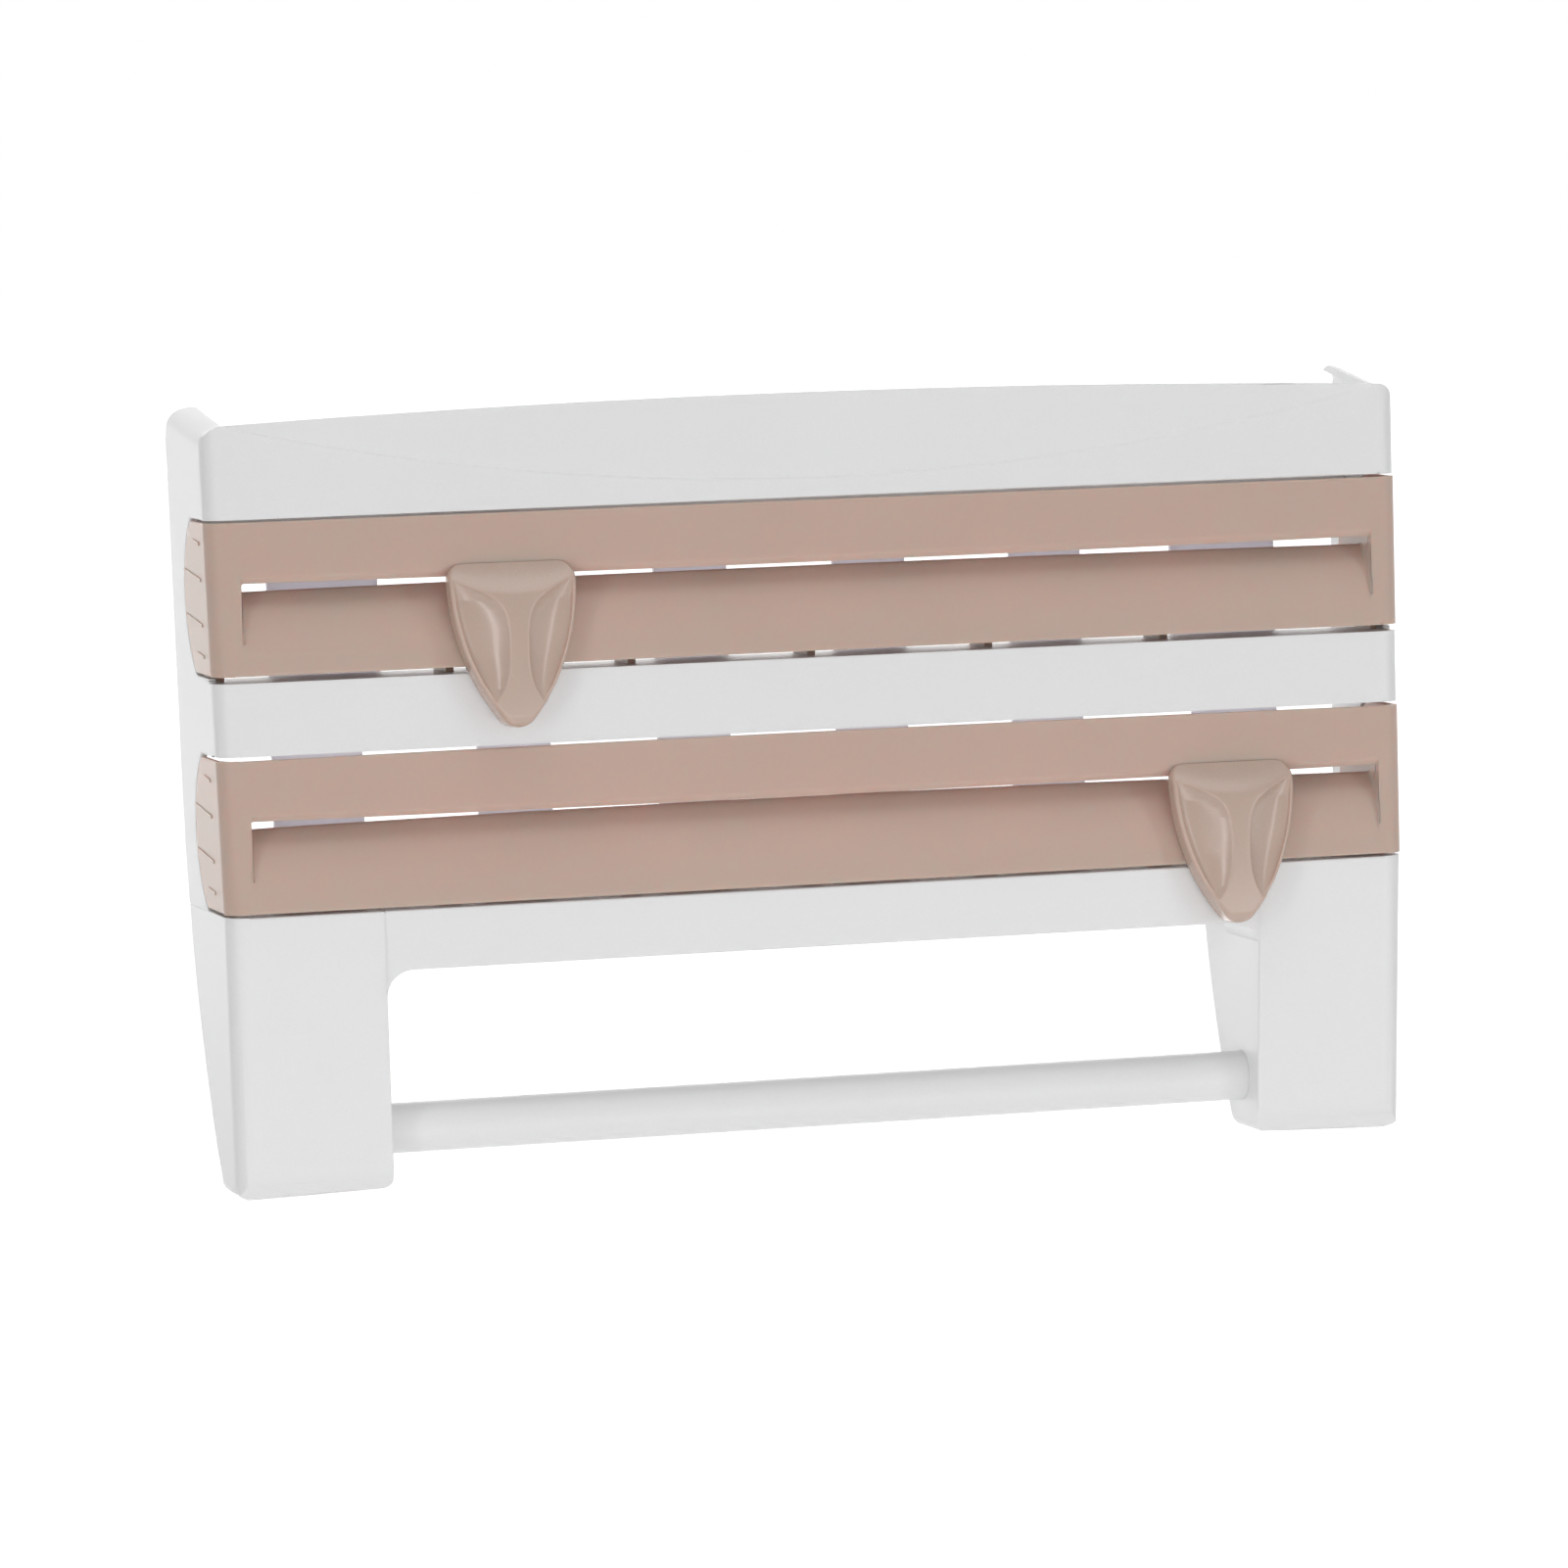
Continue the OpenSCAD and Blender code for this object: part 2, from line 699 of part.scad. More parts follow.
// Handle with two scooped flanks and a ridge between them, top at the origin
module handle() {
  wide_drop = 10;
  side_x = cutter_side_r - cutter_w / 2;
  tip_z = cutter_tip_r - cutter_h;
  front_r = 100;
  crown_r = 39;
  front_drop = 16;
  top_tilt = 40;
  scoop_r = 9;
  scoop_in = 3.8;
  scoop_tilt = 12.5;
  difference() {
    intersection() {
      union() {
        intersection() {
          handle_cone(-side_x, -wide_drop, cutter_side_r);
          handle_cone(side_x, -wide_drop, cutter_side_r);
          rotate([90, 0, 0]) linear_extrude(cutter_d + 2) handle_top();
          translate([-cutter_w, -2 * cutter_d, tip_z - 0.6 * cutter_tip_r])
            cube([2 * cutter_w, 3 * cutter_d, cutter_h]);
        }
        handle_cone(0, tip_z, cutter_tip_r);
      }
      translate([-cutter_w, front_r - cutter_d, -front_drop]) rotate([0, 90, 0])
        cylinder(r = front_r, h = 2 * cutter_w, $fn = 240);
      translate([0, crown_r - cutter_d, -2 * cutter_h]) cylinder(r = crown_r, h = 3 * cutter_h, $fn = 240);
      rotate([top_tilt, 0, 0]) translate([-cutter_w, -cutter_h, -2 * cutter_h])
        cube([2 * cutter_w, 2 * cutter_h, 2 * cutter_h]);
    }
    both_sides() translate([10, -cutter_d - scoop_r + scoop_in, -26]) rotate([2, scoop_tilt, 0]) {
      translate([0, 0, -12]) cylinder(r = scoop_r, h = 22);
      translate([0, 0, 10]) sphere(r = scoop_r);
      translate([0, 0, -12]) sphere(r = scoop_r);
    }
  }
}

// Places a cutter piece in the slot of the cover at height z0
module in_slot(x, z0) {
  lean_up() translate([x, -front_d - cover_proud, z0 + cover_h - lip_drop]) children();
}

// Handle with the neck that passes through the slot
module cutter(x, z0) {
  in_slot(x, z0) {
    translate([0, -cutter_clear, cutter_up]) handle();
    translate([-neck_w / 2, -cutter_clear - 2, neck_z]) cube([neck_w, cutter_clear + 2 + neck_in, neck_h]);
  }
}

// Carriage behind the lip, with a seat for the blade
module carriage(x, z0) {
  in_slot(x, z0) difference() {
    translate([-carriage_w / 2, carriage_y, neck_z]) cube([carriage_w, carriage_d, carriage_h]);
    translate([-neck_w / 2, cover_t, neck_z - eps]) cube([neck_w, neck_in - cover_t, neck_h + eps]);
    translate([-blade_w / 2, carriage_y + blade_in, neck_z + carriage_h - blade_h])
      cube([blade_w, blade_t, blade_h + 1]);
  }
}

// Small steel blade in the carriage
module blade(x, z0) {
  half = blade_w / 2;
  z1 = neck_z + carriage_h;
  in_slot(x, z0) translate([0, carriage_y + blade_in + blade_t, 0]) rotate([90, 0, 0]) linear_extrude(blade_t)
    polygon([[-half, z1 - blade_h], [half, z1 - blade_h], [half, z1], [0, z1 + 2], [-half, z1]]);
}

module cutter_upper() {
  color(beige) cutter(-cutter_up_x, z_cu);
}

module cutter_lower() {
  color(beige) cutter(cutter_lo_x, z_cl);
}

module carriage_upper() {
  color(white) carriage(-cutter_up_x, z_cu);
}

module carriage_lower() {
  color(white) carriage(cutter_lo_x, z_cl);
}

module blade_upper() {
  color(steel) blade(-cutter_up_x, z_cu);
}

module blade_lower() {
  color(steel) blade(cutter_lo_x, z_cl);
}

// Paper rod
module rod() {
  x_in = leg_x - (z_top - rod_z) * tan(side_draft);
  half = x_in + rod_in;
  color(white) translate([-half, -rod_y, rod_z]) rotate([0, 90, 0]) {
    translate([0, 0, 1]) cylinder(r = rod_r, h = 2 * half - 2);
    cylinder(r1 = rod_r - 1, r2 = rod_r, h = 1);
    translate([0, 0, 2 * half - 1]) cylinder(r1 = rod_r, r2 = rod_r - 1, h = 1);
  }
}

// Row frame: origin midway between the wall screws
translate([0, 0, -z_screw]) {
  side_left();
  side_right();
  fascia();
  shelf_floor();
  mid_bar();
  lower_bar();
  leg_left();
  leg_right();
  back_panel();
  cover_upper();
  trough_upper();
  cover_lower();
  trough_lower();
  cutter_upper();
  carriage_upper();
  blade_upper();
  cutter_lower();
  carriage_lower();
  blade_lower();
  rod();
}
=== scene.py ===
# %% [markdown]
# # A wall rack for kitchen wrap and paper towel
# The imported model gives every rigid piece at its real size. This notebook dresses it: it rounds the edges
# that a mould would round, sculpts the cutter handles as smooth surfaces, and gives each plastic its own
# finish. Lengths are in metres, apart from the measures of the leaned front, the bow and the handles, which
# are in millimetres. +X is to the right, +Y to the wall and +Z up.

# %% Load the frame
import json

import bpy
import bmesh
import numpy as np
from mathutils import Matrix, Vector
from mathutils.bvhtree import BVHTree


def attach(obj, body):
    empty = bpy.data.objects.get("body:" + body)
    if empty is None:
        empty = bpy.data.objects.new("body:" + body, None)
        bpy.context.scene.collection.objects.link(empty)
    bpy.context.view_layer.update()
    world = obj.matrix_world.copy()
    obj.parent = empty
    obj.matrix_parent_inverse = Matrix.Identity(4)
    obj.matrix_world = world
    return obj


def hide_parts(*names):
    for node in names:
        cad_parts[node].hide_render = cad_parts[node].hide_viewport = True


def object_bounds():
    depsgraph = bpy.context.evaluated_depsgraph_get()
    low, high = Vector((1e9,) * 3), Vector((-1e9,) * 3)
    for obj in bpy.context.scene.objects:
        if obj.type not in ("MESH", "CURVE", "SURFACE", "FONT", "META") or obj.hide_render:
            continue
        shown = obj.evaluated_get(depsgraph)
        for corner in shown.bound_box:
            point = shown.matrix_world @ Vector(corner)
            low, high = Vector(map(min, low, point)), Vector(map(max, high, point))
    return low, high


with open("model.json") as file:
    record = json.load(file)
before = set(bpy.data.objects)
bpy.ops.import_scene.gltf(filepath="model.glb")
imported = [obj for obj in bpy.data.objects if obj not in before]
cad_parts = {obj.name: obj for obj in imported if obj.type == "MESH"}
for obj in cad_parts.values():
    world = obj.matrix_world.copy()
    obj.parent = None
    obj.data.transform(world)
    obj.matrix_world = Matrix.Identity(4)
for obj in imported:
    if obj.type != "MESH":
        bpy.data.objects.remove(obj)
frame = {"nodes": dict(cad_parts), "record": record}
cad_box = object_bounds()
nodes = frame["nodes"]
bodies = frame["record"]["behaviour"]["bodies"]
body_of = {node: body for body, members in bodies.items() for node in members}
slot_of = {part["node"]: part["material_slot"] for part in frame["record"]["subparts"]}
MM = 0.001
print("nodes:", len(nodes), "bodies:", len(bodies))

# %% [markdown]
# ## Plastics
# A moulded plastic is never one flat colour: the texture of the steel mould leaves a fine grain, the colour
# drifts a little, and the gloss changes with it. One function makes all the plastics here. A fine noise on
# Object coordinates drives the bump and the roughness, and a broad noise drifts the colour. Light can also
# enter a plastic and come out close by, which softens its shadows, so most have a share of subsurface light.

# %% Plastic finish
BROAD_SCALE = 14.0
BROAD_DETAIL, FINE_DETAIL = 3.0, 2.0
NOISE_LOW, NOISE_HIGH = 0.3, 0.7
ROUGHNESS_SWING = 0.05
COAT_ROUGHNESS = 0.2


def plastic(name, colour, roughness, grain_mm, depth_mm, drift, speck, milk, milk_mm,
            coat=0.0, specular=0.5):
    """A moulded plastic. Colour = base x (1 + drift x broad noise) x (1 + speck x fine noise).

    grain_mm is the size of the fine noise and depth_mm the height of its bump. milk is the share of light
    that enters the plastic, and milk_mm how far its red, green and blue travel there.
    """
    material = bpy.data.materials.new(name)
    material.use_nodes = True
    tree = material.node_tree
    shader = tree.nodes["Principled BSDF"]
    link = tree.links.new
    place = tree.nodes.new("ShaderNodeTexCoord")

    def noise(scale, detail):
        node = tree.nodes.new("ShaderNodeTexNoise")
        node.inputs["Scale"].default_value = scale
        node.inputs["Detail"].default_value = detail
        link(place.outputs["Object"], node.inputs["Vector"])
        return node

    def span(node, low, high):
        scale = tree.nodes.new("ShaderNodeMapRange")
        scale.inputs["From Min"].default_value = NOISE_LOW
        scale.inputs["From Max"].default_value = NOISE_HIGH
        scale.inputs["To Min"].default_value = low
        scale.inputs["To Max"].default_value = high
        link(node.outputs["Fac"], scale.inputs["Value"])
        return scale

    fine = noise(1.0 / (grain_mm * MM), FINE_DETAIL)
    broad = noise(BROAD_SCALE, BROAD_DETAIL)
    drifted = span(broad, 1 - drift, 1 + drift)
    specked = span(fine, 1 - speck, 1 + speck)
    gain = tree.nodes.new("ShaderNodeMath")
    gain.operation = "MULTIPLY"
    link(drifted.outputs["Result"], gain.inputs[0])
    link(specked.outputs["Result"], gain.inputs[1])
    tint = tree.nodes.new("ShaderNodeVectorMath")
    tint.operation = "SCALE"
    tint.inputs[0].default_value = colour
    link(gain.outputs["Value"], tint.inputs["Scale"])
    link(tint.outputs["Vector"], shader.inputs["Base Color"])

    rough = span(fine, roughness - ROUGHNESS_SWING, roughness + ROUGHNESS_SWING)
    link(rough.outputs["Result"], shader.inputs["Roughness"])
    bump = tree.nodes.new("ShaderNodeBump")
    bump.inputs["Strength"].default_value = 1.0
    bump.inputs["Distance"].default_value = depth_mm * MM
    link(fine.outputs["Fac"], bump.inputs["Height"])
    link(bump.outputs["Normal"], shader.inputs["Normal"])
    shader.inputs["Specular IOR Level"].default_value = specular
    shader.inputs["Coat Weight"].default_value = coat
    shader.inputs["Coat Roughness"].default_value = COAT_ROUGHNESS
    shader.inputs["Subsurface Weight"].default_value = milk
    shader.inputs["Subsurface Scale"].default_value = MM
    shader.inputs["Subsurface Radius"].default_value = milk_mm
    print("finish:", name)
    return material


# %% The plastics of the rack
white_satin = plastic(
    "white_satin", colour=(0.86, 0.861, 0.866), roughness=0.45, grain_mm=0.5, depth_mm=0.006,
    drift=0.006, speck=0.015, milk=0.3, milk_mm=(1.6, 1.5, 1.5))
dusty_pink = plastic(
    "dusty_pink", colour=(0.593, 0.462, 0.394), roughness=0.4, grain_mm=0.35, depth_mm=0.004,
    drift=0.012, speck=0.01, milk=0.6, milk_mm=(6.0, 1.6, 1.1), specular=0.2)
cutter_beige = plastic(
    "cutter_beige", colour=(0.55, 0.41, 0.34), roughness=0.24, grain_mm=0.3, depth_mm=0.002,
    drift=0.015, speck=0.0, milk=0.3, milk_mm=(3.0, 1.4, 1.1), coat=0.2)
white_thin = plastic(
    "white_thin", colour=(0.86, 0.86, 0.86), roughness=0.45, grain_mm=0.5, depth_mm=0.006,
    drift=0.006, speck=0.015, milk=0.0, milk_mm=(1.0, 1.0, 1.0))

# %% [markdown]
# ## Webs that pass light
# The back is one thin wall, cut into upright webs between rails, and light from behind passes through it. A
#  share of its surface is therefore Translucent, which lets light out on the far side. The share holds from
#  the foot of the lower webs to the top of the upper ones. The light that passes is tinted lilac, a painted
#  shade colour, because the white plastic of the webs looks lilac where it lies in shade.

# %% Light through the webs
WEB_BOTTOM, WEB_TOP = -0.1289, -0.0147
WEB_SHARE = 0.42
# Painted shade: a lilac tint on the light through the webs, which are white plastic.
WEB_PAINTED_SHADE_TINT = (0.93, 0.9, 0.96, 1)


def let_light_through(material):
    """Mixes a share of Translucent into a plastic between the two heights where the webs end."""
    tree = material.node_tree
    link = tree.links.new
    through = tree.nodes.new("ShaderNodeBsdfTranslucent")
    # The lilac colour of the passing light is painted shade colour.
    through.inputs["Color"].default_value = WEB_PAINTED_SHADE_TINT
    place = tree.nodes.new("ShaderNodeTexCoord")
    split_place = tree.nodes.new("ShaderNodeSeparateXYZ")
    between = tree.nodes.new("ShaderNodeMath")
    between.operation = "COMPARE"
    between.inputs[1].default_value = (WEB_BOTTOM + WEB_TOP) / 2
    between.inputs[2].default_value = (WEB_TOP - WEB_BOTTOM) / 2
    amount = tree.nodes.new("ShaderNodeMath")
    amount.operation = "MULTIPLY"
    amount.inputs[1].default_value = WEB_SHARE
    both = tree.nodes.new("ShaderNodeMixShader")
    link(place.outputs["Object"], split_place.inputs["Vector"])
    link(split_place.outputs["Z"], between.inputs[0])
    link(between.outputs["Value"], amount.inputs[0])
    link(amount.outputs["Value"], both.inputs["Fac"])
    link(tree.nodes["Principled BSDF"].outputs["BSDF"], both.inputs[1])
    link(through.outputs["BSDF"], both.inputs[2])
    link(both.outputs["Shader"], tree.nodes["Material Output"].inputs["Surface"])


let_light_through(white_thin)
print("webs from", WEB_BOTTOM, "to", WEB_TOP)

# %% [markdown]
# ## Ground steel
# The blades are small stampings of steel, ground along one direction. A noise stretched along X makes the
# lines that the grinding wheel leaves.

# %% Steel finish
STEEL_COLOUR = (0.62, 0.63, 0.65, 1)
STEEL_LINES = (100.0, 4000.0, 4000.0)
STEEL_SMOOTH, STEEL_ROUGH = 0.18, 0.42


def ground_steel(name):
    """Metal whose roughness follows noise stretched 40 to 1 along X."""
    material = bpy.data.materials.new(name)
    material.use_nodes = True
    tree = material.node_tree
    shader = tree.nodes["Principled BSDF"]
    place = tree.nodes.new("ShaderNodeTexCoord")
    stretch = tree.nodes.new("ShaderNodeMapping")
    stretch.inputs["Scale"].default_value = STEEL_LINES
    lines = tree.nodes.new("ShaderNodeTexNoise")
    lines.inputs["Scale"].default_value = 1.0
    rough = tree.nodes.new("ShaderNodeMapRange")
    rough.inputs["To Min"].default_value = STEEL_SMOOTH
    rough.inputs["To Max"].default_value = STEEL_ROUGH
    tree.links.new(place.outputs["Object"], stretch.inputs["Vector"])
    tree.links.new(stretch.outputs["Vector"], lines.inputs["Vector"])
    tree.links.new(lines.outputs["Fac"], rough.inputs["Value"])
    tree.links.new(rough.outputs["Result"], shader.inputs["Roughness"])
    shader.inputs["Base Color"].default_value = STEEL_COLOUR
    shader.inputs["Metallic"].default_value = 1.0
    print("finish:", name)
    return material


blade_steel = ground_steel("blade_steel")

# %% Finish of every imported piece
finish_of = {
    "white_plastic": white_satin,
    "pink_plastic": dusty_pink,
    "cutter_plastic": cutter_beige,
    "blade_steel": blade_steel,
}
node_finish = {name: finish_of[slot_of[name]] for name in nodes}
node_finish["back_panel"] = white_thin
for name, node in nodes.items():
    node.data.materials.clear()
    node.data.materials.append(node_finish[name])
print("dressed nodes:", len(nodes))

# %% [markdown]
# ## The leaned front
# The front of the rack leans back by a couple of degrees, and its pieces are measured along that lean, from
# the lower front line of the fascia. One function turns measures on the upright front into places on the
# rack, and the other reads heights on the rack from the lip of a slot.

# %% Lean
FRONT_D, LEAN = 56.0, np.radians(2.2)
Z_FASCIA, Z_SCREW = 210.5, 219.2
COVER_H, LIP_DROP = 47.3, 17.2
COVER_FOOT = {"cover_upper": 162.4, "cover_lower": 89.2}
LIP_Z = {cover: foot + COVER_H - LIP_DROP for cover, foot in COVER_FOOT.items()}


def leaned(points):
    """Points of the upright front in millimetres, turned about the fascia's lower front line, in metres."""
    x, y, z = points[..., 0], points[..., 1] + FRONT_D, points[..., 2] - Z_FASCIA
    y_turned = y * np.cos(LEAN) + z * np.sin(LEAN) - FRONT_D
    z_turned = z * np.cos(LEAN) - y * np.sin(LEAN) + Z_FASCIA - Z_SCREW
    return np.stack([x, y_turned, z_turned], axis=-1) * MM


def above_lip(points, cover):
    """Heights of points over the lip of a cover's slot in millimetres, measured up the leaned front."""
    y, z = points[:, 1] / MM + FRONT_D, points[:, 2] / MM + Z_SCREW - Z_FASCIA
    return y * np.sin(LEAN) + z * np.cos(LEAN) + Z_FASCIA - LIP_Z[cover]


print("lips at", LIP_Z)

# %% [markdown]
# ## Soft edges
# No moulded edge is sharp: the tool that cut the mould had a radius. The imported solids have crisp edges, so
# each one that shows is copied, its triangles are merged back into flat faces, and the edges that turn by
# more than a set angle are bevelled in three steps. The white frame is one moulding, so an edge where two of
# its pieces meet stays unrounded, and the two faces run on into each other without a groove. Ribs and steps
# that are too thin for the radius keep their crisp edges too. A weighted normal then keeps the large faces
# flat in the light.

# %% Which edges are rounded
SHELL = ["side_left", "side_right", "fascia", "mid_bar", "lower_bar", "leg_left", "leg_right"]
COVERS = ["cover_upper", "cover_lower"]
INNER = ["back_panel", "shelf_floor"]
LEGS = ["leg_left", "leg_right"]
SHELL_R, COVER_R, INNER_R = 0.7 * MM, 0.8 * MM, 0.5 * MM
JOIN_REACH, SPLIT_REACH = 2e-6, 1e-7
FLAT_ANGLE, EDGE_ANGLE = np.radians(0.4), np.radians(28)
SEAM_GAP = 0.12 * MM
SEAM_SHARES = (0.2, 0.5, 0.8)
THIN_SHARE = 2.2


def merged(name):
    """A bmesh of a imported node, with doubled points joined and triangles made into large flat faces."""
    mesh = bmesh.new()
    mesh.from_mesh(nodes[name].data)
    bmesh.ops.remove_doubles(mesh, verts=mesh.verts, dist=JOIN_REACH)
    bmesh.ops.dissolve_limit(mesh, angle_limit=FLAT_ANGLE, verts=mesh.verts, edges=mesh.edges)
    return mesh


def split(mesh, place, normal):
    """Splits the edges and faces that cross a plane."""
    geometry = mesh.verts[:] + mesh.edges[:] + mesh.faces[:]
    bmesh.ops.bisect_plane(mesh, geom=geometry, dist=SPLIT_REACH, plane_co=place, plane_no=normal)


def surface_of(name):
    """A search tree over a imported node's surface."""
    mesh = merged(name)
    tree = BVHTree.FromBMesh(mesh)
    mesh.free()
    return tree


def touches(edge, others):
    """True where three points along an edge all lie on one of the other surfaces."""
    start, end = (vert.co for vert in edge.verts)
    for other in others:
        near = [other.find_nearest(start.lerp(end, share))[3] for share in SEAM_SHARES]
        if all(gap is not None and gap < SEAM_GAP for gap in near):
            return True
    return False


def thin(face, radius):
    """True for a face that is too narrow to carry two rounded edges."""
    longest = max(edge.calc_length() for edge in face.edges)
    return face.calc_area() / longest < THIN_SHARE * radius


def free_edges(mesh, radius, others):
    """Edges that turn sharply between two faces wide enough to round, and lie on none of the others."""
    free = []
    for edge in mesh.edges:
        if len(edge.link_faces) == 2 and edge.calc_face_angle() > EDGE_ANGLE:
            if not any(thin(face, radius) for face in edge.link_faces) and not touches(edge, others):
                free.append(edge)
    return free


shell_surface = {name: surface_of(name) for name in SHELL}
print("surfaces of the shell:", len(shell_surface))

# %% [markdown]
# ## Bowed slots
# The covers are long and thin, and a slot runs along nearly all of each. In the photograph the two lips of a
# slot come closer together in the middle, and the lower cover's top edge is bowed up a little as well. The
# long faces are first split across, so that they have points to move, and a parabola along X gives the bow.
# Heights are over the lip of the slot, in millimetres.

# %% Bow
SLOT_HALF, SLOT_H, RAMP_H = 184.4, 4.2, 18.6
BOW_STEPS = 16
LIP_SAG = {"cover_upper": 0.65, "cover_lower": 0.65}
RAMP_RISE = {"cover_upper": 0.8, "cover_lower": 1.5}
TOP_RISE = {"cover_upper": 0.0, "cover_lower": 0.6}
RAMP_FOOT, RAMP_TOP = -SLOT_H - RAMP_H, -SLOT_H
RAMP_REACH, LIP_REACH = 0.8 - SLOT_H, -2.4
LIP_FADE, TOP_FADE, TOP_FULL = 3.0, 12.0, 16.0
BOW_HEIGHTS = [RAMP_FOOT, RAMP_TOP, RAMP_REACH, LIP_REACH, 0, LIP_FADE, TOP_FADE, TOP_FULL]


def split_along_slot(mesh):
    """Splits a cover across at even steps from one end of its slot to the other."""
    for x in np.linspace(-SLOT_HALF, SLOT_HALF, BOW_STEPS + 1) * MM:
        split(mesh, (x, 0, 0), (1, 0, 0))


def bow(data, cover):
    """Moves points up by (1 - (x / half)^2) x rise, where half is half the slot's length.

    The rise follows the height in straight steps, and it is below zero at the lip.
    """
    flat = np.empty(len(data.vertices) * 3, np.float32)
    data.vertices.foreach_get("co", flat)
    points = flat.reshape(-1, 3)
    sag, ramp, top = -LIP_SAG[cover], RAMP_RISE[cover], TOP_RISE[cover]
    rise = np.interp(above_lip(points, cover), BOW_HEIGHTS, [0, ramp, ramp, sag, sag, 0, 0, top])
    points[:, 2] += MM * rise * np.clip(1 - (points[:, 0] / (SLOT_HALF * MM)) ** 2, 0, 1)
    data.vertices.foreach_set("co", flat)
    data.update()


print("bow steps:", BOW_STEPS)

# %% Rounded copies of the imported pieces
CREASE_ANGLE = np.radians(38)
BEVEL_STEPS = 3
FLAT_WEIGHT = 100
bar_bottom = min(vert.co.z for vert in nodes["lower_bar"].data.vertices)


def softened(name, radius, others=()):
    """A merged copy of a node whose free edges are rounded to the radius; edges on the others stay sharp.

    The legs are split at the bottom of the lower bar: an edge can then be round below it and sharp above.
    """
    mesh = merged(name)
    if name in LEGS:
        split(mesh, (0, 0, bar_bottom), (0, 0, 1))
    free = free_edges(mesh, radius, others)
    bmesh.ops.connect_verts_concave(mesh, faces=mesh.faces)
    bmesh.ops.bevel(mesh, geom=free, offset=radius, offset_type="OFFSET", segments=BEVEL_STEPS, profile=0.5,
                    affect="EDGES", clamp_overlap=False, loop_slide=False)
    if name in COVERS:
        split_along_slot(mesh)
    for edge in mesh.edges:
        edge.smooth = len(edge.link_faces) == 2 and edge.calc_face_angle() < CREASE_ANGLE
    data = bpy.data.meshes.new("soft_" + name)
    mesh.to_mesh(data)
    mesh.free()
    if name in COVERS:
        bow(data, name)
    data.materials.append(node_finish[name])
    data.polygons.foreach_set("use_smooth", np.ones(len(data.polygons), bool))
    piece = bpy.data.objects.new("soft_" + name, data)
    bpy.context.scene.collection.objects.link(piece)
    flatten = piece.modifiers.new("flat faces", "WEIGHTED_NORMAL")
    flatten.mode = "FACE_AREA"
    flatten.weight = FLAT_WEIGHT
    flatten.keep_sharp = True
    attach(piece, body_of[name])
    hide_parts(name)


for name in SHELL:
    softened(name, SHELL_R, [tree for other, tree in shell_surface.items() if other != name])
for name in COVERS:
    softened(name, COVER_R)
for name in INNER:
    softened(name, INNER_R)
print("rounded pieces:", len(SHELL + INNER + COVERS))

# %% [markdown]
# ## Cutter handles
# Each handle is a moulded shield with a tilted top, two scooped hollows for finger and thumb, and a ridge
# between them that widens into the top and into the tip. It is one surface: a row for each level below the
# top, and a column for each step round the section at that level. The section runs up the left side, round
# the edge, across the front and down the right side.

# %% Handle outline
HANDLE_W, WIDE_DROP = 40.6, 5.0
SIDE_R, TIP_R, CORNER_R = 70.0, 6.4, 5.0
SIDE_X = SIDE_R - HANDLE_W / 2
TIP_Z = -WIDE_DROP - np.sqrt((SIDE_R - TIP_R) ** 2 - SIDE_X ** 2)
TIP_START = TIP_Z + (TIP_Z + WIDE_DROP) * TIP_R / (SIDE_R - TIP_R)
HANDLE_H = TIP_R - TIP_Z


def half_width(z):
    """Half width of a handle: two side circles, rounded top corners and a round tip that joins the sides."""
    sides = np.sqrt(SIDE_R ** 2 - (z + WIDE_DROP) ** 2) - SIDE_X
    from_corner = np.clip(CORNER_R ** 2 - np.clip(z + CORNER_R, 0, None) ** 2, 0, None)
    top = HANDLE_W / 2 - CORNER_R + np.sqrt(from_corner)
    tip = np.sqrt(np.clip(TIP_R ** 2 - (z - TIP_Z) ** 2, 0, None))
    return np.where(z > TIP_START, np.minimum(sides, top), tip)


print("handle:", HANDLE_W, "by", round(float(HANDLE_H), 1), "mm")

# %% Handle front
HANDLE_D, DOME_DROP, DOME_R = 10.85, 16.0, 250.0
CROWN_R, END_R = 39.0, 4.0
TOP_TILT, SHOULDER = np.radians(40.0), 1.6
RIM_W, SCOOP_D, SCOOP_SHARE = 1.2, 3.6, 0.3
SCOOP_IN, SCOOP_OUT, SCOOP_PEAK = 0.9, 0.6, 0.364
RIDGE_LEVEL = [-50, -45, -43, -39, -35, -30, -22, -17, -14, -11.5, -9, -7, -5.2, -2]
RIDGE_HALF = [14, 9.6, 7.2, 4.8, 3.5, 2.8, 2.8, 3.5, 4.6, 6.5, 10, 14, 18.5, 24]


def swell(x, z):
    """Depth of a handle before the hollows: a dome of two parabolas with a round end, cut by the tilted top.

    The cut is soft: the two depths meet in a shoulder, as the logarithm of a sum of powers gives it.
    """
    near_end = np.clip(END_R - HANDLE_H - z, 0, END_R)
    end = END_R - np.sqrt(END_R ** 2 - near_end ** 2)
    dome = HANDLE_D - (z + DOME_DROP) ** 2 / (2 * DOME_R) - x ** 2 / (2 * CROWN_R) - end
    tilt = -z / np.tan(TOP_TILT)
    return -SHOULDER * np.log(np.exp(-dome / SHOULDER) + np.exp(-tilt / SHOULDER))


